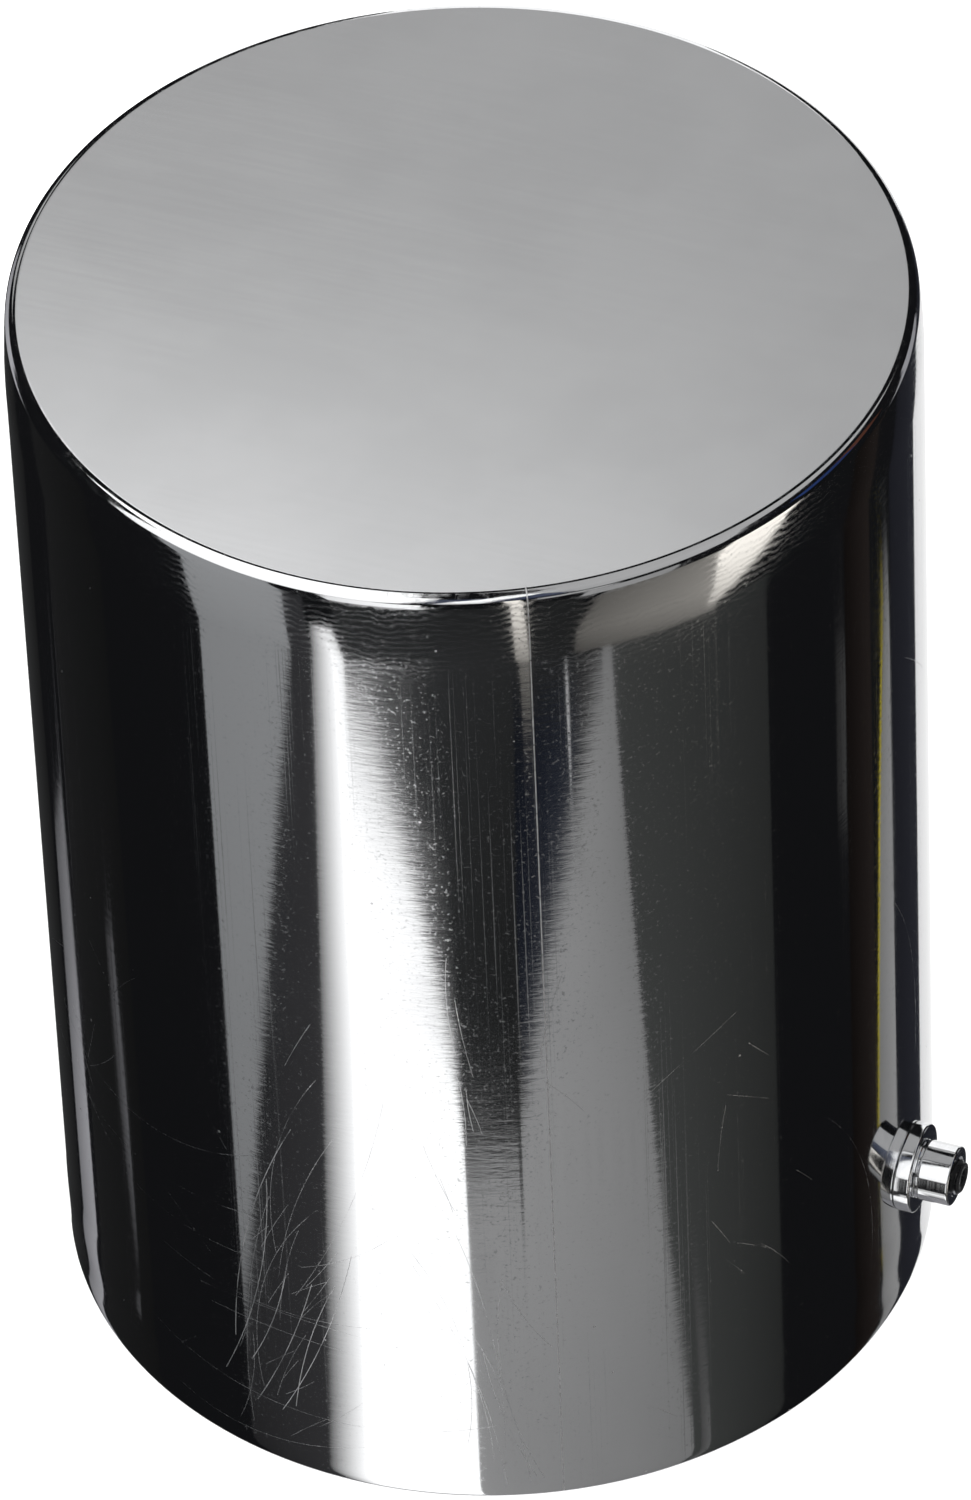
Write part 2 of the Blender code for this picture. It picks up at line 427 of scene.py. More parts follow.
def chrome_top():
    """The flat top: buffed across, with faint straight streaks, soft blotches and a few tiny pits."""
    w = Wiring("chrome_top")
    streaks = w.noise(w.stretched((60, 1500, 60), turn=(0, 0, BUFFING_ANGLE)), detail=2.0)
    cross = w.noise(w.stretched((1100, 50, 50), turn=(0, 0, BUFFING_ANGLE + 0.5)), detail=2.0)
    blotches = w.noise(w.stretched((70, 70, 70)), detail=3.0)
    normal = w.bump(streaks, 0.13 * MICRON)
    normal = w.bump(cross, 0.11 * MICRON, normal)
    normal = w.bump(blotches, 1.4 * MICRON, normal)
    pits = w.specks(95.0, 0.008, 0.03)
    color = w.mix(pits, w.mix(w.remap(blotches, 0.3, 0.7), CHROME, CHROME_SMUDGED), CHROME_SCRATCHED)
    roughness = w.total(w.remap(streaks, 0.3, 0.7, 0.055, 0.08), w.times(pits, 0.4))
    return w.finish(Base_Color=color, Metallic=1.0, Roughness=roughness, Normal=normal)


def chrome_inside():
    """Inside the can the plating is thin and unpolished, with the draw lines still showing."""
    w = Wiring("chrome_inside")
    lines = w.noise(w.stretched((1300, 1300, 14)), detail=3.0)
    stain = w.remap(w.noise(w.stretched((35, 35, 18)), detail=5.0), 0.40, 0.68)
    color = w.mix(stain, CHROME_INSIDE, CHROME_INSIDE_STAINED)
    roughness = w.total(w.remap(lines, 0.3, 0.7, 0.28, 0.40), w.times(stain, 0.12))
    return w.finish(Base_Color=color, Metallic=1.0, Roughness=roughness, Normal=w.bump(lines, 2.5 * MICRON))


def chrome_turned():
    """The bush: lathe rings under the plating, and a little wear in random patches all over."""
    w = Wiring("chrome_turned")
    rings = w.noise(w.stretched((5200, 60, 60)), detail=2.0)
    wear = w.noise(w.stretched((900, 900, 900)), detail=2.0)
    normal = w.bump(rings, 0.5 * MICRON)
    color = w.mix(w.remap(wear, 0.40, 0.70), CHROME, CHROME_SMUDGED)
    roughness = w.remap(rings, 0.30, 0.70, 0.07, 0.13)
    return w.finish(Base_Color=color, Metallic=1.0, Roughness=roughness, Normal=normal)


def black_oxide():
    """Blackened steel with an oily sheen, rubbed brighter in random patches."""
    w = Wiring("black_oxide")
    grain = w.noise(w.stretched((1800, 1800, 1800)), detail=4.0)
    rubbed = w.remap(w.noise(w.stretched((700, 700, 700)), detail=3.0), 0.58, 0.72)
    color = w.mix(w.times(rubbed, 0.6), OXIDE, OXIDE_RUBBED)
    roughness = w.remap(grain, 0.30, 0.70, 0.24, 0.42)
    return w.finish(Base_Color=color, Metallic=0.7, Roughness=roughness, Normal=w.bump(grain, 6.0 * MICRON))


def nylon():
    """Natural nylon, slightly waxy, with a fine moulded grain."""
    w = Wiring("natural_nylon")
    grain = w.noise(w.stretched((2500, 2500, 2500)), detail=3.0)
    cloud = w.noise(w.stretched((600, 600, 600)), detail=2.0)
    color = w.mix(w.remap(cloud, 0.3, 0.7), NYLON, NYLON_CLOUDED)
    return w.finish(
        Base_Color=color,
        Roughness=w.remap(grain, 0.30, 0.70, 0.38, 0.52),
        Subsurface_Weight=0.25,
        Subsurface_Scale=0.8 * MM,
        Normal=w.bump(grain, 8.0 * MICRON),
    )


def pale_floor():
    """A plain pale floor, matt and very slightly uneven in tone."""
    w = Wiring("pale_floor")
    cloud = w.noise(w.stretched((3, 3, 3)), detail=3.0)
    color = w.mix(w.remap(cloud, 0.3, 0.7), FLOOR, FLOOR_CLOUDED)
    return w.finish(Base_Color=color, Roughness=0.9, Specular_IOR_Level=0.0)


# ---------------------------------------------------------------- mesh building


def angles(steps):
    """Evenly spaced angles of one full turn."""
    return [2 * math.pi * step / steps for step in range(steps)]


def about_can(radius, height):
    """A level ring round the can's axis."""
    return [Vector((radius * math.cos(t), radius * math.sin(t), height)) for t in angles(CAN_STEPS)]


def off_screw(along, radius, angle):
    """A point at a radius and an angle from the screw's axis."""
    return Vector((along, radius * math.cos(angle), BUSH_HEIGHT + radius * math.sin(angle)))


def about_screw(along, radius, steps):
    """An upright ring round the screw's axis."""
    return [off_screw(along, radius, angle) for angle in angles(steps)]


def skin(name, rings, materials, band_materials=None, tube=False):
    """One closed body through rings that have as many points each. A tube's two ends are joined."""
    mesh = bpy.data.meshes.new(name)
    body = bmesh.new()
    rows = [[body.verts.new(point) for point in ring] for ring in rings]
    count = len(rows[0])
    pairs = list(zip(rows, rows[1:]))
    if tube:
        pairs.append((rows[-1], rows[0]))
    for band, (first, second) in enumerate(pairs):
        for step in range(count):
            following = (step + 1) % count
            face = body.faces.new((first[step], first[following], second[following], second[step]))
            face.material_index = band_materials[band] if band_materials else 0
    if not tube:
        for row, band in ((rows[0], 0), (rows[-1], -1)):
            middle = body.verts.new(sum((vertex.co for vertex in row), Vector()) / count)
            for step in range(count):
                face = body.faces.new((row[step], row[(step + 1) % count], middle))
                face.material_index = band_materials[band] if band_materials else 0
    bmesh.ops.recalc_face_normals(body, faces=body.faces)
    body.to_mesh(mesh)
    body.free()
    for material in materials:
        mesh.materials.append(material)
    mesh.shade_smooth()
    mesh.set_sharp_from_angle(angle=SHARP_ANGLE)
    piece = bpy.data.objects.new(name, mesh)
    bpy.context.scene.collection.objects.link(piece)
    return piece


def steps_between(start, end, count):
    """Evenly spaced values, both ends among them."""
    return [start + (end - start) * step / count for step in range(count + 1)]


def quarter_round(start, corner, end, parts):
    """Points of a round corner between two profile points, each (radius, height), ends left out."""
    points = []
    for part in range(1, parts):
        t = math.pi / 2 * part / parts
        a, b = 1 - math.sin(t), 1 - math.cos(t)
        points.append(
            (
                corner[0] + (start[0] - corner[0]) * a + (end[0] - corner[0]) * b,
                corner[1] + (start[1] - corner[1]) * a + (end[1] - corner[1]) * b,
            )
        )
    return points


# ---------------------------------------------------------------- shell


def rim_profile():
    """From the flat's edge over the rim: a round turn, then a slow easing into the straight wall."""
    ease_reach = RIM_EASE_LENGTH * math.sin((math.pi / 2 - RIM_ARC_END) / 2)
    arc_radius = (RIM_REACH - ease_reach) / math.sin(RIM_ARC_END)
    lengths = [arc_radius * RIM_ARC_END / RIM_ARC_PARTS] * RIM_ARC_PARTS
    lengths += [RIM_EASE_LENGTH / RIM_EASE_PARTS] * RIM_EASE_PARTS
    turns = steps_between(0.0, RIM_ARC_END, RIM_ARC_PARTS)
    turns += steps_between(RIM_ARC_END, math.pi / 2, RIM_EASE_PARTS)[1:]
    radius, height = CAN_RADIUS - RIM_REACH, CAN_HEIGHT
    points = [(radius, height)]
    for length, before, after in zip(lengths, turns, turns[1:]):
        slope = (before + after) / 2
        radius += length * math.cos(slope)
        height -= length * math.sin(slope)
        points.append((min(radius, CAN_RADIUS), height))
    return points


def shell_profile():
    """(radius, height) from the middle of the top, down the outside, round the mouth and up the inside.

    The rings lie closer together below CLOSE_RINGS_TOP, where the bush's hole is cut. With the points
    come the counts of bands on the top and on the whole outside.
    """
    rim = rim_profile()
    flat = [(rim[0][0] * share, CAN_HEIGHT) for share in TOP_SHARES]
    wall_top = rim[-1][1]
    wall = [(CAN_RADIUS, z) for z in steps_between(wall_top, CLOSE_RINGS_TOP, OUTSIDE_UPPER)[1:]]
    wall += [(CAN_RADIUS, z) for z in steps_between(CLOSE_RINGS_TOP, MOUTH_TURN_HEIGHT, OUTSIDE_CLOSE)[1:]]
    mouth = CAN_RADIUS - MOUTH_TURN_IN
    edge = (mouth, MOUTH_ROUND)
    foot = (mouth - MOUTH_ROUND, 0.0)
    inner = CAN_RADIUS - WALL
    lip_foot = (inner + MOUTH_ROUND, 0.0)
    lip_edge = (inner, MOUTH_ROUND)
    turn = [(CAN_RADIUS - MOUTH_TURN_IN * 0.35, MOUTH_TURN_HEIGHT * 0.6), edge]
    turn += quarter_round(edge, (mouth, 0.0), foot, MOUTH_PARTS) + [foot, lip_foot]
    turn += quarter_round(lip_foot, (inner, 0.0), lip_edge, MOUTH_PARTS) + [lip_edge]
    ceiling = CAN_HEIGHT - WALL
    corner_start = (inner, ceiling - INNER_CORNER)
    corner_end = (inner - INNER_CORNER, ceiling)
    inside = [(inner, z) for z in steps_between(MOUTH_ROUND, CLOSE_RINGS_TOP, INSIDE_CLOSE)[1:]]
    inside += [(inner, z) for z in steps_between(CLOSE_RINGS_TOP, corner_start[1], INSIDE_UPPER)[1:]]
    inside += quarter_round(corner_start, (inner, ceiling), corner_end, CORNER_PARTS) + [corner_end]
    inside += [(corner_end[0] * share, ceiling) for share in CEILING_SHARES]
    outside_count = len(flat) + len(rim) + len(wall) + len(turn)
    return flat + rim + wall + turn + inside, len(flat), outside_count


def build_shell(finishes):
    """The can, with finishes for its top, its wall and its inside, and the hole for the bush."""
    profile, flat_count, outside_count = shell_profile()
    rings = [about_can(radius, height) for radius, height in profile]
    top, wall, inside = range(3)
    bands = [top] * flat_count + [wall] * (outside_count - flat_count)
    bands += [inside] * (len(rings) - 1 - outside_count)
    shell = skin("shell", rings, finishes, bands)

    hole_ends = (CAN_RADIUS - HOLE_INWARD, CAN_RADIUS + HOLE_OUTWARD)
    hole_rings = [about_screw(x, SHANK_RADIUS + HOLE_PLAY, HOLE_STEPS) for x in hole_ends]
    cutter = skin("bush_hole", hole_rings, [finishes[inside]])
    hole = shell.modifiers.new("bush_hole", "BOOLEAN")
    hole.operation = "DIFFERENCE"
    hole.object = cutter
    bpy.context.view_layer.update()
    seen = shell.evaluated_get(bpy.context.evaluated_depsgraph_get())
    cut = bpy.data.meshes.new_from_object(seen)
    shell.modifiers.clear()
    shell.data = cut
    bpy.data.objects.remove(cutter)
    cut.shade_smooth()
    cut.set_sharp_from_angle(angle=SHARP_ANGLE)
    return shell


# ---------------------------------------------------------------- bush


def seated(ring, radius, clearance):
    """The ring laid on a cylinder about the can's axis, so that it follows the wall."""
    return [Vector((math.sqrt((radius + clearance) ** 2 - p.y**2), p.y, p.z)) for p in ring]


def rounded_edge(face, radius):
    """(along, radius) over the round edge between an end face and a cylinder."""
    points = []
    for part in range(EDGE_PARTS + 1):
        t = math.pi / 2 * part / EDGE_PARTS
        along = face - EDGE_ROUND + EDGE_ROUND * math.cos(t)
        points.append((along, radius - EDGE_ROUND + EDGE_ROUND * math.sin(t)))
    return points


def bush_front():
    """(along, radius) from the bore's mouth over the barrel and the relief ring to the flange's side.

    The rings that lie a HOLD or so from an edge keep its shading from spreading past it.
    """
    shoulder = FLANGE_FRONT + RELIEF_WIDTH
    relief_floor = BARREL_RADIUS - RELIEF_DEPTH
    bore = SCREW_RADIUS + BORE_PLAY
    outline = [
        (BARREL_END - BORE_CHAMFER, bore),
        (BARREL_END, bore + BORE_CHAMFER),
        (BARREL_END, BARREL_RADIUS - EDGE_ROUND - HOLD / 3),
    ]
    outline += rounded_edge(BARREL_END, BARREL_RADIUS)
    outline += [
        (BARREL_END - EDGE_ROUND - HOLD, BARREL_RADIUS),
        (shoulder + 3 * HOLD, BARREL_RADIUS),
        (shoulder + RELIEF_EDGE, BARREL_RADIUS),
        (shoulder, BARREL_RADIUS - 0.4 * RELIEF_EDGE),
        (shoulder - HOLD, relief_floor),
        (FLANGE_FRONT + RELIEF_CORNER, relief_floor),
        (FLANGE_FRONT, relief_floor + RELIEF_CORNER),
        (FLANGE_FRONT, BARREL_RADIUS + RELIEF_EDGE),
    ]
    outline += rounded_edge(FLANGE_FRONT, FLANGE_RADIUS)
    outline.append((FLANGE_FRONT - EDGE_ROUND - FLANGE_HOLD, FLANGE_RADIUS))
    return outline


def bush_lip():
    """(along, radius) round the riveted lip's inner side and back into the bore."""
    bore = SCREW_RADIUS + BORE_PLAY
    return [
        (LIP_BACK + 0.25 * MM, LIP_RADIUS - 0.03 * MM),
        (LIP_BACK + 0.06 * MM, LIP_RADIUS - 0.25 * MM),
        (LIP_BACK, LIP_RADIUS - 0.6 * MM),
        (LIP_BACK, bore + BORE_CHAMFER),
        (LIP_BACK + BORE_CHAMFER, bore),
    ]


# Rings that follow the curved wall, each its radius about the screw and its distance out from the wall:
# the flange's foot and the shank on the outer face, then the shank and the lip on the inner face.
ON_OUTER_FACE = [
    (FLANGE_RADIUS, 0.22 * MM),
    (FLANGE_RADIUS, 0.16 * MM),
    (FLANGE_RADIUS - 0.06 * MM, 0.05 * MM),
    (FLANGE_RADIUS - 0.18 * MM, WALL_GAP),
    (SHANK_RADIUS, WALL_GAP),
]
ON_INNER_FACE = [
    (SHANK_RADIUS, -WALL_GAP),
    (LIP_RADIUS - 0.12 * MM, -WALL_GAP),
    (LIP_RADIUS, -0.12 * MM),
]


def build_bush(finish):
    """The bush as one tube: the barrel, flange and shank outside, then the lip, and back up the bore."""
    rings = [about_screw(x, radius, BUSH_STEPS) for x, radius in bush_front()]
    for face, seats in ((CAN_RADIUS, ON_OUTER_FACE), (CAN_RADIUS - WALL, ON_INNER_FACE)):
        for radius, clearance in seats:
            rings.append(seated(about_screw(0.0, radius, BUSH_STEPS), face, clearance))
    rings += [about_screw(x, radius, BUSH_STEPS) for x, radius in bush_lip()]
    return skin("bush", rings, [finish], tube=True)


# ---------------------------------------------------------------- set screw and tip


def hexagon(along, across_flats, steps):
    """A hexagonal ring, its points at the same angles as a round ring's."""
    points = []
    for t in angles(steps):
        from_flat = (t + math.pi / 6) % (math.pi / 3) - math.pi / 6
        points.append(off_screw(along, across_flats / 2 / math.cos(from_flat), t))
    return points


def thread_ring(along):
    """One ring of the thread, whose ridge winds left-handed round +X.

    In each pitch the radius goes once down one flank and up the other.
    """
    from_end = min(along - SCREW_FOOT, SCREW_HEAD - along)
    chamfered = SCREW_RADIUS - max(0.0, SCREW_CHAMFER - from_end)
    points = []
    for t in angles(SCREW_STEPS):
        phase = (along / THREAD_PITCH + t / (2 * math.pi)) % 1.0
        down_flank = (abs(phase - 0.5) * 2 - THREAD_CREST_SHARE) / THREAD_FLANK_SHARE
        depth = THREAD_DEPTH * min(1.0, max(0.0, down_flank))
        points.append(off_screw(along, min(SCREW_RADIUS - depth, chamfered), t))
    return points


def build_screw(finish):
    """The set screw from the bottom of its socket, over the head and the thread, to the tip's bore."""
    corner = SOCKET_ACROSS_FLATS / math.sqrt(3)
    bore = TIP_RADIUS + TIP_PLAY
    bore_end = TIP_BACK + TIP_PLAY
    parts = round((SCREW_HEAD - SCREW_FOOT) / THREAD_PITCH * THREAD_PARTS_PER_TURN)

    def ring(along, radius):
        return about_screw(along, radius, SCREW_STEPS)

    rings = [
        ring(SCREW_HEAD - SOCKET_DEPTH - SOCKET_CONE, SCREW_MIDDLE),
        hexagon(SCREW_HEAD - SOCKET_DEPTH, SOCKET_ACROSS_FLATS, SCREW_STEPS),
        hexagon(SCREW_HEAD - SOCKET_HOLD, SOCKET_ACROSS_FLATS, SCREW_STEPS),
        ring(SCREW_HEAD - FACE_EDGE, corner + SOCKET_EDGE),
        ring(SCREW_HEAD, corner + 2 * SOCKET_EDGE),
        ring(SCREW_HEAD, SCREW_RADIUS - SCREW_CHAMFER - FACE_EDGE),
    ]
    rings += [thread_ring(along) for along in steps_between(SCREW_HEAD, SCREW_FOOT, parts)]
    rings += [
        ring(SCREW_FOOT, bore + BORE_EDGE),
        ring(SCREW_FOOT + BORE_EDGE, bore),
        ring(bore_end, bore),
        ring(bore_end, SCREW_MIDDLE),
    ]
    return skin("screw", rings, [finish])


def build_tip(finish):
    """The soft plug: a round-edged face that bears on the filter, and a back with a small chamfer."""
    outline = [(TIP_FACE, TIP_MIDDLE), (TIP_FACE, TIP_RADIUS - TIP_ROUND)]
    for part in range(1, TIP_PARTS + 1):
        t = math.pi / 2 * part / TIP_PARTS
        x = TIP_FACE + TIP_ROUND * (1 - math.cos(t))
        outline.append((x, TIP_RADIUS - TIP_ROUND + TIP_ROUND * math.sin(t)))
    outline += [(TIP_BACK - TIP_CHAMFER, TIP_RADIUS), (TIP_BACK, TIP_RADIUS - TIP_CHAMFER)]
    outline.append((TIP_BACK, TIP_MIDDLE))
    return skin("tip", [about_screw(x, radius, TIP_STEPS) for x, radius in outline], [finish])


# ---------------------------------------------------------------- studio

DOME_RADIUS = 30.0
DOME_LAYER = 0.2
CARD_COLUMNS = 12
CARD_ROWS = 6
DARK = 0.007
ROOM_GLOW = 1.9
LIGHT_DISTANCE = 1.5
FLOOR_HALF_WIDTH = 6.0


def toward(azimuth, elevation):
    """A direction: degrees to the right of the camera's side, and degrees above the horizon."""
    around = CAMERA_AZIMUTH + math.radians(azimuth)
    rise = math.radians(elevation)
    level = math.cos(rise)
    return Vector((level * math.cos(around), level * math.sin(around), math.sin(rise)))


def card_finish():
    """A card that glows by the amount painted at its corners."""
    material = bpy.data.materials.new("studio_card")
    material.use_nodes = True
    nodes = material.node_tree.nodes
    links = material.node_tree.links
    nodes.clear()
    paint = nodes.new("ShaderNodeAttribute")
    paint.attribute_name = "glow"
    light = nodes.new("ShaderNodeEmission")
    output = nodes.new("ShaderNodeOutputMaterial")
    links.new(paint.outputs["Color"], light.inputs["Color"])
    links.new(light.outputs[0], output.inputs["Surface"])
    material.cycles.emission_sampling = "NONE"
    return material


def glowing(name, corners, faces, glows, finish):
    """A card with a glow at each corner. Nothing but reflections can see it."""
    mesh = bpy.data.meshes.new(name)
    mesh.from_pydata(corners, [], faces)
    attribute = mesh.color_attributes.new("glow", "FLOAT_COLOR", "POINT")
    for place, glow in zip(attribute.data, glows):
        place.color = glow
    mesh.materials.append(finish)
    card = bpy.data.objects.new(name, mesh)
    bpy.context.scene.collection.objects.link(card)
    card.visible_camera = False
    card.visible_diffuse = False
    card.visible_shadow = False
    card.visible_transmission = False
    card.visible_volume_scatter = False
    return card


def add_card(name, rows, finish, tint, layer):
    """A card on the dome. Each row is (elevation, left, right, glow at left, glow at right).

    A later card hangs one layer further in, so that it covers the earlier ones.
    """
    lines = []
    for lower, upper in zip(rows, rows[1:]):
        for part in range(CARD_ROWS):
            share = part / CARD_ROWS
            lines.append([a + (b - a) * share for a, b in zip(lower, upper)])
    lines.append(list(rows[-1]))
    radius = DOME_RADIUS - DOME_LAYER * layer
    corners, glows, faces = [], [], []
    for elevation, left, right, glow_left, glow_right in lines:
        for part in range(CARD_COLUMNS + 1):
            share = part / CARD_COLUMNS
            corners.append(toward(left + (right - left) * share, elevation) * radius)
            glow = glow_left + (glow_right - glow_left) * share
            glows.append([glow * channel for channel in tint] + [1.0])
    width = CARD_COLUMNS + 1
    for row in range(len(lines) - 1):
        for part in range(CARD_COLUMNS):
            corner = row * width + part
            faces.append((corner, corner + 1, corner + width + 1, corner + width))
    card = glowing(name, corners, faces, glows, finish)


WHITE = 1.5
NEUTRAL = (1.0, 1.0, 1.0)
COOL = (0.98, 1.0, 1.02)
NAVY = (0.80, 0.95, 1.45)
SLATE = (0.92, 0.97, 1.25)
LAVENDER = (0.985, 0.98, 1.035)
BROWN = (1.20, 0.96, 0.88)
WARM = (1.05, 1.0, 0.92)
YELLOW = (1.00, 0.82, 0.05)
BLUE = (0.30, 0.60, 1.90)
RED = (1.50, 0.60, 0.40)
GREENISH = (1.0, 1.05, 1.02)

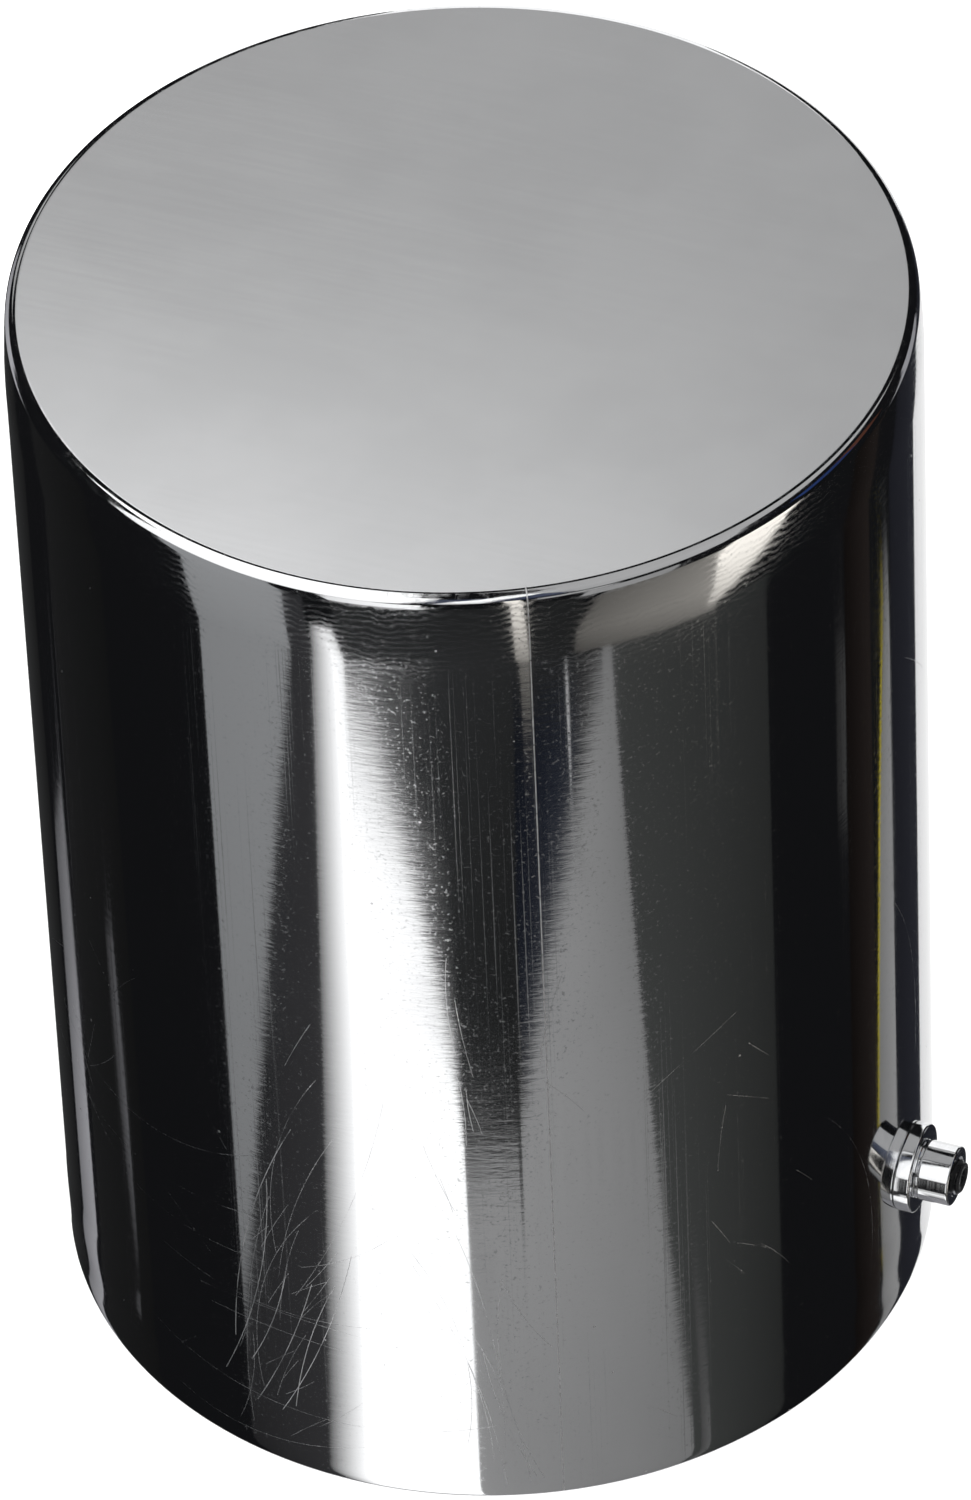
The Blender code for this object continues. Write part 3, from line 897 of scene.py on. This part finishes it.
# Each card: its tint, then its rows from low to high. The wall mirrors the band from -47 to -41 degrees
# in the main view, so the shapes are drawn there, and the high strips serve the other views. The rounded
# edge mirrors the rim cards, front_glow and front_strip, and the flat top the back cards and front_fill.
CARDS = {
    "ground": (LAVENDER, [(-89, -180, 180, 0.28, 0.28), (-63, -180, 180, 0.28, 0.28)]),
    "behind_right": (NEUTRAL, [(-63, 150, 185, 0.80, 1.1), (-1, 150, 185, 0.80, 1.1)]),
    "behind_left": (NEUTRAL, [(-63, -175, -170, 1.2, 0.9), (-1, -175, -170, 1.2, 0.9)]),
    "behind_high": (NEUTRAL, [(-1, 170, 182, 1.2, 1.2), (35, 170, 182, 1.2, 1.2)]),
    "left_dusk": (COOL, [(-63, -170, -150, 0.034, 0.012), (-28, -170, -150, 0.034, 0.012)]),
    "left_dim": (COOL, [(-63, -135, -108, 0.013, 0.008), (-28, -135, -108, 0.013, 0.008)]),
    "left_lavender": (
        LAVENDER,
        [
            (-63, -148.5, -137, 0.18, 0.34),
            (-44.5, -148, -137.6, 0.18, 0.34),
            (-43.6, -147.4, -138.2, 0.12, 0.24),
            (-43.1, -147, -138.5, 0.10, 0.20),
            (-42.9, -140.5, -139, 0.09, 0.18),
        ],
    ),
    "left_thin_streak": (
        LAVENDER,
        [
            (-45.2, -115.0, -113.6, 0.04, 0.05),
            (-44.4, -117.5, -113.8, 0.05, 0.13),
            (-43.6, -118.5, -115, 0.04, 0.10),
        ],
    ),
    "grey_card": (
        COOL,
        [
            (-45.5, -73.6, -73.0, 0.14, 0.14),
            (-45.0, -73.6, -69.0, 0.22, 0.22),
            (-42.1, -73.6, -47.0, 0.25, 0.28),
            (-30.0, -73.6, -46.0, 0.32, 0.32),
            (20.0, -73.6, -46.0, 0.32, 0.32),
        ],
    ),
    "dark_band": (
        LAVENDER,
        [
            (-63, -73.6, -51.5, 0.018, 0.034),
            (-46.4, -73.6, -50.3, 0.018, 0.034),
            (-45.5, -73.6, -48.2, 0.020, 0.034),
            (-44.35, -61.7, -45.6, 0.024, 0.036),
            (-42.1, -47.6, -41.8, 0.034, 0.036),
            (-30.0, -46.0, -41.0, 0.030, 0.030),
        ],
    ),
    "white_card_shade": (
        NEUTRAL,
        [
            (-63, -51.5, -40.5, 0.12, 1.3),
            (-46.4, -50.3, -40.0, 0.12, 1.3),
            (-45.5, -48.2, -38.8, 0.14, 1.3),
            (-44.35, -45.6, -37.0, 0.16, 1.3),
            (-42.1, -41.8, -36.3, 0.24, 1.3),
            (-36.0, -40.5, -38.0, 0.14, 0.9),
        ],
    ),
    "white_card": (
        NEUTRAL,
        [
            (-63, -40.5, -9.0, WHITE, WHITE),
            (-46.4, -40.0, -9.0, WHITE, WHITE),
            (-44.7, -38.0, -9.0, WHITE, WHITE),
            (-44.1, -37.0, -11.6, WHITE, 1.3),
            (-43.37, -36.7, -18.8, WHITE, 1.2),
            (-42.68, -36.5, -27.2, WHITE, 1.1),
            (-42.46, -36.5, -33.6, WHITE, 1.0),
            (-36.0, -38.0, -35.0, 0.9, 0.9),
        ],
    ),
    "dark_wedge": (
        COOL,
        [
            (-44.75, -9.0, 4.6, 0.016, 0.016),
            (-44.5, -9.2, 6.4, 0.016, 0.012),
            (-43.4, -17.3, 18.9, 0.026, 0.010),
            (-42.55, -27.0, 28.2, 0.034, 0.012),
            (-42.25, -33.0, 31.0, 0.034, 0.016),
            (-25.0, -35.0, 22.0, 0.016, 0.016),
        ],
    ),
    "wedge_blue": (
        NAVY,
        [
            (-44.3, 6.6, 8.2, 0.012, 0.016),
            (-43.4, 7.0, 18.9, 0.010, 0.020),
            (-42.55, 8.5, 26.0, 0.008, 0.018),
        ],
    ),
    "short_line": (NEUTRAL, [(-42.84, 21.8, 22.2, 0.40, 0.40), (-42.35, 21.6, 22.4, 0.80, 0.80)]),
    "light_card": (
        NEUTRAL,
        [
            (-63, -9.0, 52.0, 0.32, 0.18),
            (-46.2, -9.0, 49.5, 0.32, 0.20),
            (-44.75, -9.0, 41.2, 0.34, 0.24),
        ],
    ),
    "light_card_top": (
        NEUTRAL,
        [
            (-44.75, 4.6, 41.2, 0.32, 0.24),
            (-44.5, 6.4, 40.2, 0.32, 0.23),
            (-43.4, 18.9, 36.7, 0.32, 0.20),
            (-42.55, 28.2, 34.3, 0.26, 0.22),
            (-42.25, 31.0, 33.8, 0.20, 0.20),
            (-40.5, 32.5, 33.5, 0.12, 0.12),
        ],
    ),
    "short_dark": (NEUTRAL, [(-45.05, 4.9, 5.6, 0.09, 0.09), (-44.5, 4.7, 5.8, 0.03, 0.03)]),
    "dark_card": (
        GREENISH,
        [
            (-63, 52.0, 78.2, 0.050, 0.022),
            (-46.2, 49.5, 78.2, 0.048, 0.022),
            (-44.75, 41.2, 78.2, 0.052, 0.023),
            (-42.25, 33.8, 78.2, 0.046, 0.024),
            (-40.0, 34.0, 78.2, 0.044, 0.024),
        ],
    ),
    "dark_card_streak": (
        NEUTRAL,
        [(-63, 53.6, 57.5, 0.07, 0.12), (-46.0, 51.8, 54.5, 0.07, 0.12), (-45.3, 50, 51, 0.05, 0.05)],
    ),
    "right_brown": (BROWN, [(-63, 107, 119, 0.005, 0.014), (-28, 107, 119, 0.005, 0.014)]),
    "right_faint_streak": (NEUTRAL, [(-43.2, 102.5, 106.5, 0.02, 0.05), (-42.3, 103, 107, 0.02, 0.05)]),
    "right_yellow": (
        YELLOW,
        [
            (-44.9, 118.8, 119.6, 0.30, 0.30),
            (-43.2, 122.0, 122.8, 0.45, 0.45),
            (-42.0, 125.5, 126.2, 0.36, 0.36),
        ],
    ),
    "right_streak": (
        NEUTRAL,
        [
            (-63, 121.0, 131.0, 0.20, 0.30),
            (-45.6, 121.0, 131.0, 0.20, 0.30),
            (-44.9, 119.6, 130.6, 0.18, 0.30),
            (-43.2, 122.8, 130.2, 0.20, 0.28),
            (-42.2, 126.0, 129.8, 0.16, 0.24),
            (-41.9, 127.5, 129.0, 0.12, 0.16),
        ],
    ),
    "right_navy": (SLATE, [(-63, 131.0, 150.0, 0.014, 0.022), (-1, 130.0, 150.0, 0.014, 0.022)]),
    "rim_haze": (WARM, [(-41.4, 24, 62, 0.07, 0.20), (-37, 24, 62, 0.14, 0.30), (-24, 34, 60, 0.07, 0.16)]),
    "rim_strip": (
        WARM,
        [
            (-42.6, 10.6, 12.8, 0.08, 0.10),
            (-41.2, 9.3, 12.8, 0.26, 0.32),
            (-30, 8, 11, 0.9, 0.9),
            (30, 6, 10, 1.1, 1.1),
        ],
    ),
    "rim_patch": (
        WARM,
        [
            (-40.0, 59, 62, 0.50, 0.60),
            (-37, 60, 70, 0.8, 1.0),
            (-33, 60, 80, 1.2, 1.2),
            (-9, 60, 78, 1.3, 1.3),
        ],
    ),
    "rim_blue": (BLUE, [(12, 80, 97, 0.08, 0.05), (28, 80, 97, 0.08, 0.05)]),
    "rim_red": (RED, [(12, 97, 108, 0.06, 0.05), (30, 97, 108, 0.06, 0.05)]),
    "high_white": (NEUTRAL, [(-28, -34, -12, 0.9, 1.4), (8, -34, -12, 0.9, 1.4)]),
    "high_grey": (NEUTRAL, [(-28, 24, 46, 0.34, 0.30), (8, 24, 46, 0.34, 0.30)]),
    "high_left": (LAVENDER, [(-28, -150, -128, 0.30, 0.50), (8, -150, -128, 0.30, 0.50)]),
    "high_right": (LAVENDER, [(-28, 118, 131, 0.36, 0.30), (8, 118, 131, 0.36, 0.30)]),
    "front_glow": (NAVY, [(24, -12, 20, 0.02, 0.02), (38, -12, 22, 0.06, 0.08), (62, -12, 30, 0.08, 0.10)]),
    "rim_white": (
        NEUTRAL,
        [
            (9, -80, -24, 1.0, 1.2),
            (16, -88, -17, 1.2, 1.3),
            (45, -94, -12, 1.4, 1.4),
            (72, -110, -14, 1.4, 1.4),
        ],
    ),
    "rim_grey": (NEUTRAL, [(26, 24, 60, 0.40, 0.50), (60, 20, 88, 0.45, 0.50), (70, 20, 100, 0.45, 0.50)]),
    "front_strip": (
        NEUTRAL,
        [
            (22, -10, 2, 0.8, 0.8),
            (43, -6, 6, 1.3, 1.3),
            (66, 8, 26, 1.3, 1.3),
            (72, 12, 34, 1.3, 1.3),
        ],
    ),
    "front_fill": (NEUTRAL, [(9, 14, 32, 0.40, 0.34), (21, 14, 32, 0.46, 0.40)]),
    "back_fill": (NEUTRAL, [(19, 196, 210, 0.42, 0.36), (31, 196, 210, 0.50, 0.42)]),
    "back_card": (
        NEUTRAL,
        [
            (36, 177, 183, 0.44, 0.40),
            (39, 177, 183, 0.46, 0.40),
            (40.2, 177, 183, 0.44, 0.44),
            (41, 177, 183, 0.42, 0.53),
            (43, 177, 183, 0.46, 1.16),
            (45, 177, 183, 0.60, 1.50),
        ],
    ),
    "back_card_right": (
        NEUTRAL,
        [
            (36, 168, 177, 0.44, 0.44),
            (41, 168, 177, 0.42, 0.42),
            (43, 168, 177, 0.46, 0.46),
            (45, 168, 177, 0.60, 0.60),
        ],
    ),
    "back_card_left": (
        NEUTRAL,
        [
            (36, 183, 192, 0.40, 0.40),
            (39, 183, 192, 0.40, 0.40),
            (41, 183, 192, 0.53, 0.53),
            (43, 183, 192, 1.16, 0.90),
            (45, 183, 192, 1.50, 0.90),
        ],
    ),
}

OVERHEAD_HEIGHT = 20.0
# The overhead cards: glow, then corners (to the right, toward the camera) as shares of their height
OVERHEAD = {
    "overhead_left": (
        WHITE,
        [(-0.75, -0.55), (-0.04, -0.55), (-0.09, 0.0), (-0.24, 0.95), (-1.15, 0.95), (-0.85, 0.15)],
    ),
    "overhead_right": (
        0.46,
        [(0.0, -0.50), (0.30, -0.52), (0.90, -0.90), (0.84, 0.70), (0.36, 0.95), (0.14, 0.40), (0.12, 0.0)],
    ),
}


def add_overhead(name, shares, finish, glow):
    """A level card high over the cover, with the same glow all over."""
    toward_camera = toward(0.0, 0.0)
    right = toward(90.0, 0.0)
    corners = [
        (right * across + toward_camera * ahead + Vector((0, 0, 1))) * OVERHEAD_HEIGHT
        for across, ahead in shares
    ]
    glows = [(glow, glow, glow, 1.0)] * len(corners)
    card = glowing(name, corners, [tuple(range(len(corners)))], glows, finish)


def add_floor():
    """The floor that the cover stands on. Reflections don't see it."""
    mesh = bpy.data.meshes.new("floor")
    signs = ((-1, -1), (1, -1), (1, 1), (-1, 1))
    corners = [(x * FLOOR_HALF_WIDTH, y * FLOOR_HALF_WIDTH, 0) for x, y in signs]
    mesh.from_pydata(corners, [], [(0, 1, 2, 3)])
    mesh.materials.append(pale_floor())
    floor = bpy.data.objects.new("floor", mesh)
    bpy.context.scene.collection.objects.link(floor)
    floor.visible_glossy = False


def add_world():
    """A pale room for the eye and the floor, and a dark one for the chrome to mirror between the cards."""
    world = bpy.data.worlds.new("studio")
    bpy.context.scene.world = world
    world.use_nodes = True
    nodes = world.node_tree.nodes
    links = world.node_tree.links
    nodes.clear()
    path = nodes.new("ShaderNodeLightPath")
    pale = nodes.new("ShaderNodeBackground")
    pale.inputs["Color"].default_value = (1.0, 1.0, 1.0, 1.0)
    pale.inputs["Strength"].default_value = ROOM_GLOW
    dark = nodes.new("ShaderNodeBackground")
    dark.inputs["Color"].default_value = (0.95, 0.98, 1.10, 1.0)
    dark.inputs["Strength"].default_value = DARK
    mixed = nodes.new("ShaderNodeMixShader")
    output = nodes.new("ShaderNodeOutputWorld")
    links.new(path.outputs["Is Glossy Ray"], mixed.inputs[0])
    links.new(pale.outputs[0], mixed.inputs[1])
    links.new(dark.outputs[0], mixed.inputs[2])
    links.new(mixed.outputs[0], output.inputs["Surface"])


def add_soft_light(name, azimuth, elevation, size, power):
    """A square light, aimed at the cover, that reflections and the camera don't see."""
    data = bpy.data.lights.new(name, "AREA")
    data.size = size
    data.energy = power
    light = bpy.data.objects.new(name, data)
    bpy.context.scene.collection.objects.link(light)
    direction = toward(azimuth, elevation)
    light.location = direction * LIGHT_DISTANCE
    light.rotation_euler = direction.to_track_quat("Z", "Y").to_euler()
    light.visible_glossy = False
    light.visible_camera = False


def build_studio():
    """Everything round the cover: cards to mirror, a floor to stand on, the room's glow and two lights."""
    finish = card_finish()
    for layer, (name, (tint, rows)) in enumerate(CARDS.items()):
        add_card(name, rows, finish, tint, layer)
    for name, (glow, shares) in OVERHEAD.items():
        add_overhead(name, shares, finish, glow)
    add_floor()
    add_world()
    add_soft_light("soft_left", azimuth=-60, elevation=55, size=1.2, power=9.0)
    add_soft_light("soft_right", azimuth=70, elevation=50, size=1.2, power=8.0)
    bpy.context.scene.view_settings.view_transform = "Standard"


# ---------------------------------------------------------------- the object

add_camera()

shell = build_shell([chrome_top(), chrome_wall(), chrome_inside()])
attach(shell, "cover")
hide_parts("cover_shell")

bush = build_bush(chrome_turned())
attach(bush, "cover")
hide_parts("threaded_bush")

screw = build_screw(black_oxide())
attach(screw, "screw")
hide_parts("set_screw")

tip = build_tip(nylon())
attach(tip, "tip")
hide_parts("screw_tip")

build_studio()
